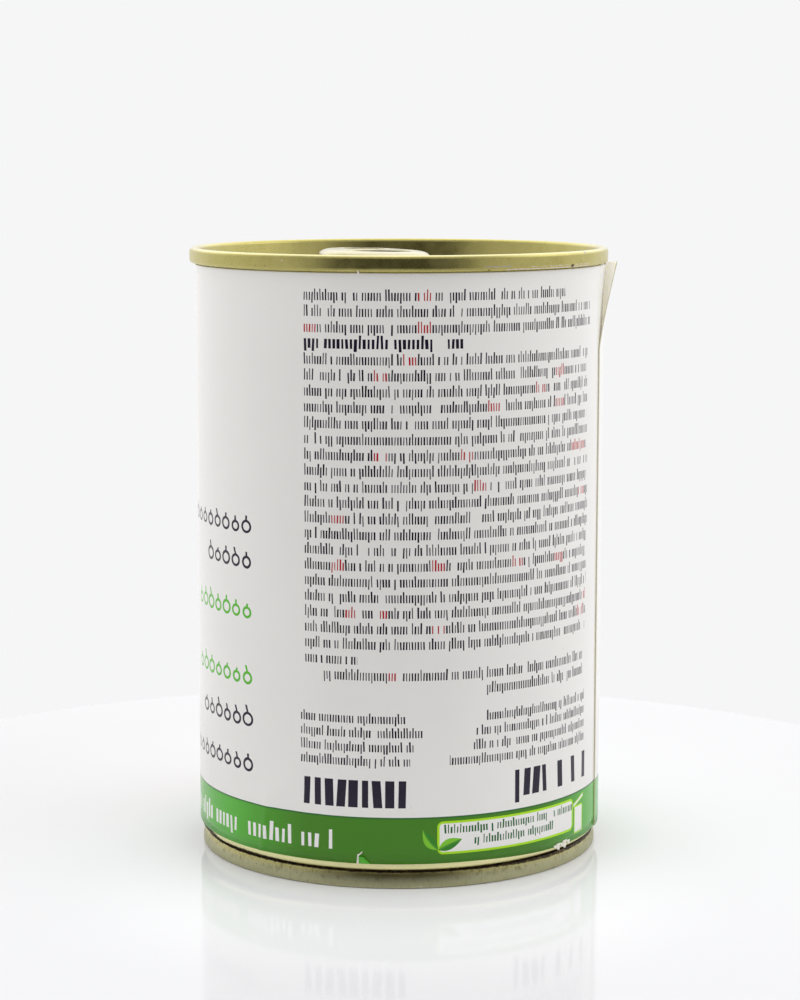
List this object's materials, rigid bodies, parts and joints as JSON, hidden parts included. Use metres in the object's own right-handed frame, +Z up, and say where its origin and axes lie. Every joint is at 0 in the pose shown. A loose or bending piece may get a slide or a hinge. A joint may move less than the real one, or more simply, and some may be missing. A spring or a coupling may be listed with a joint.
{
  "type": "food tin",
  "caption": "Round food tin with an easy-open lid and ring pull, a stepped-in foot and a wrapped paper label with one loose corner.",
  "frame": {"origin": "centre of the circle the tin stands on", "axes": "+Z up along the tin's axis; -Y is the side the picture shows; the label's loose corner is at the top on +X"},
  "size_m": [0.0773, 0.076, 0.11],
  "materials": {
    "gold_tinplate": "gold-lacquered tinplate, satin, lightly scuffed on the seams",
    "pull_metal": "pale, smooth, slightly warm",
    "label_paper": "coated white paper with a satin sheen, green foot band and plain printed bars"
  },
  "bodies": {
    "root": {"body": "gold_tinplate", "lid": "gold_tinplate", "base": "gold_tinplate", "ring_pull": "pull_metal", "label": "label_paper"}
  },
  "joints": []
}
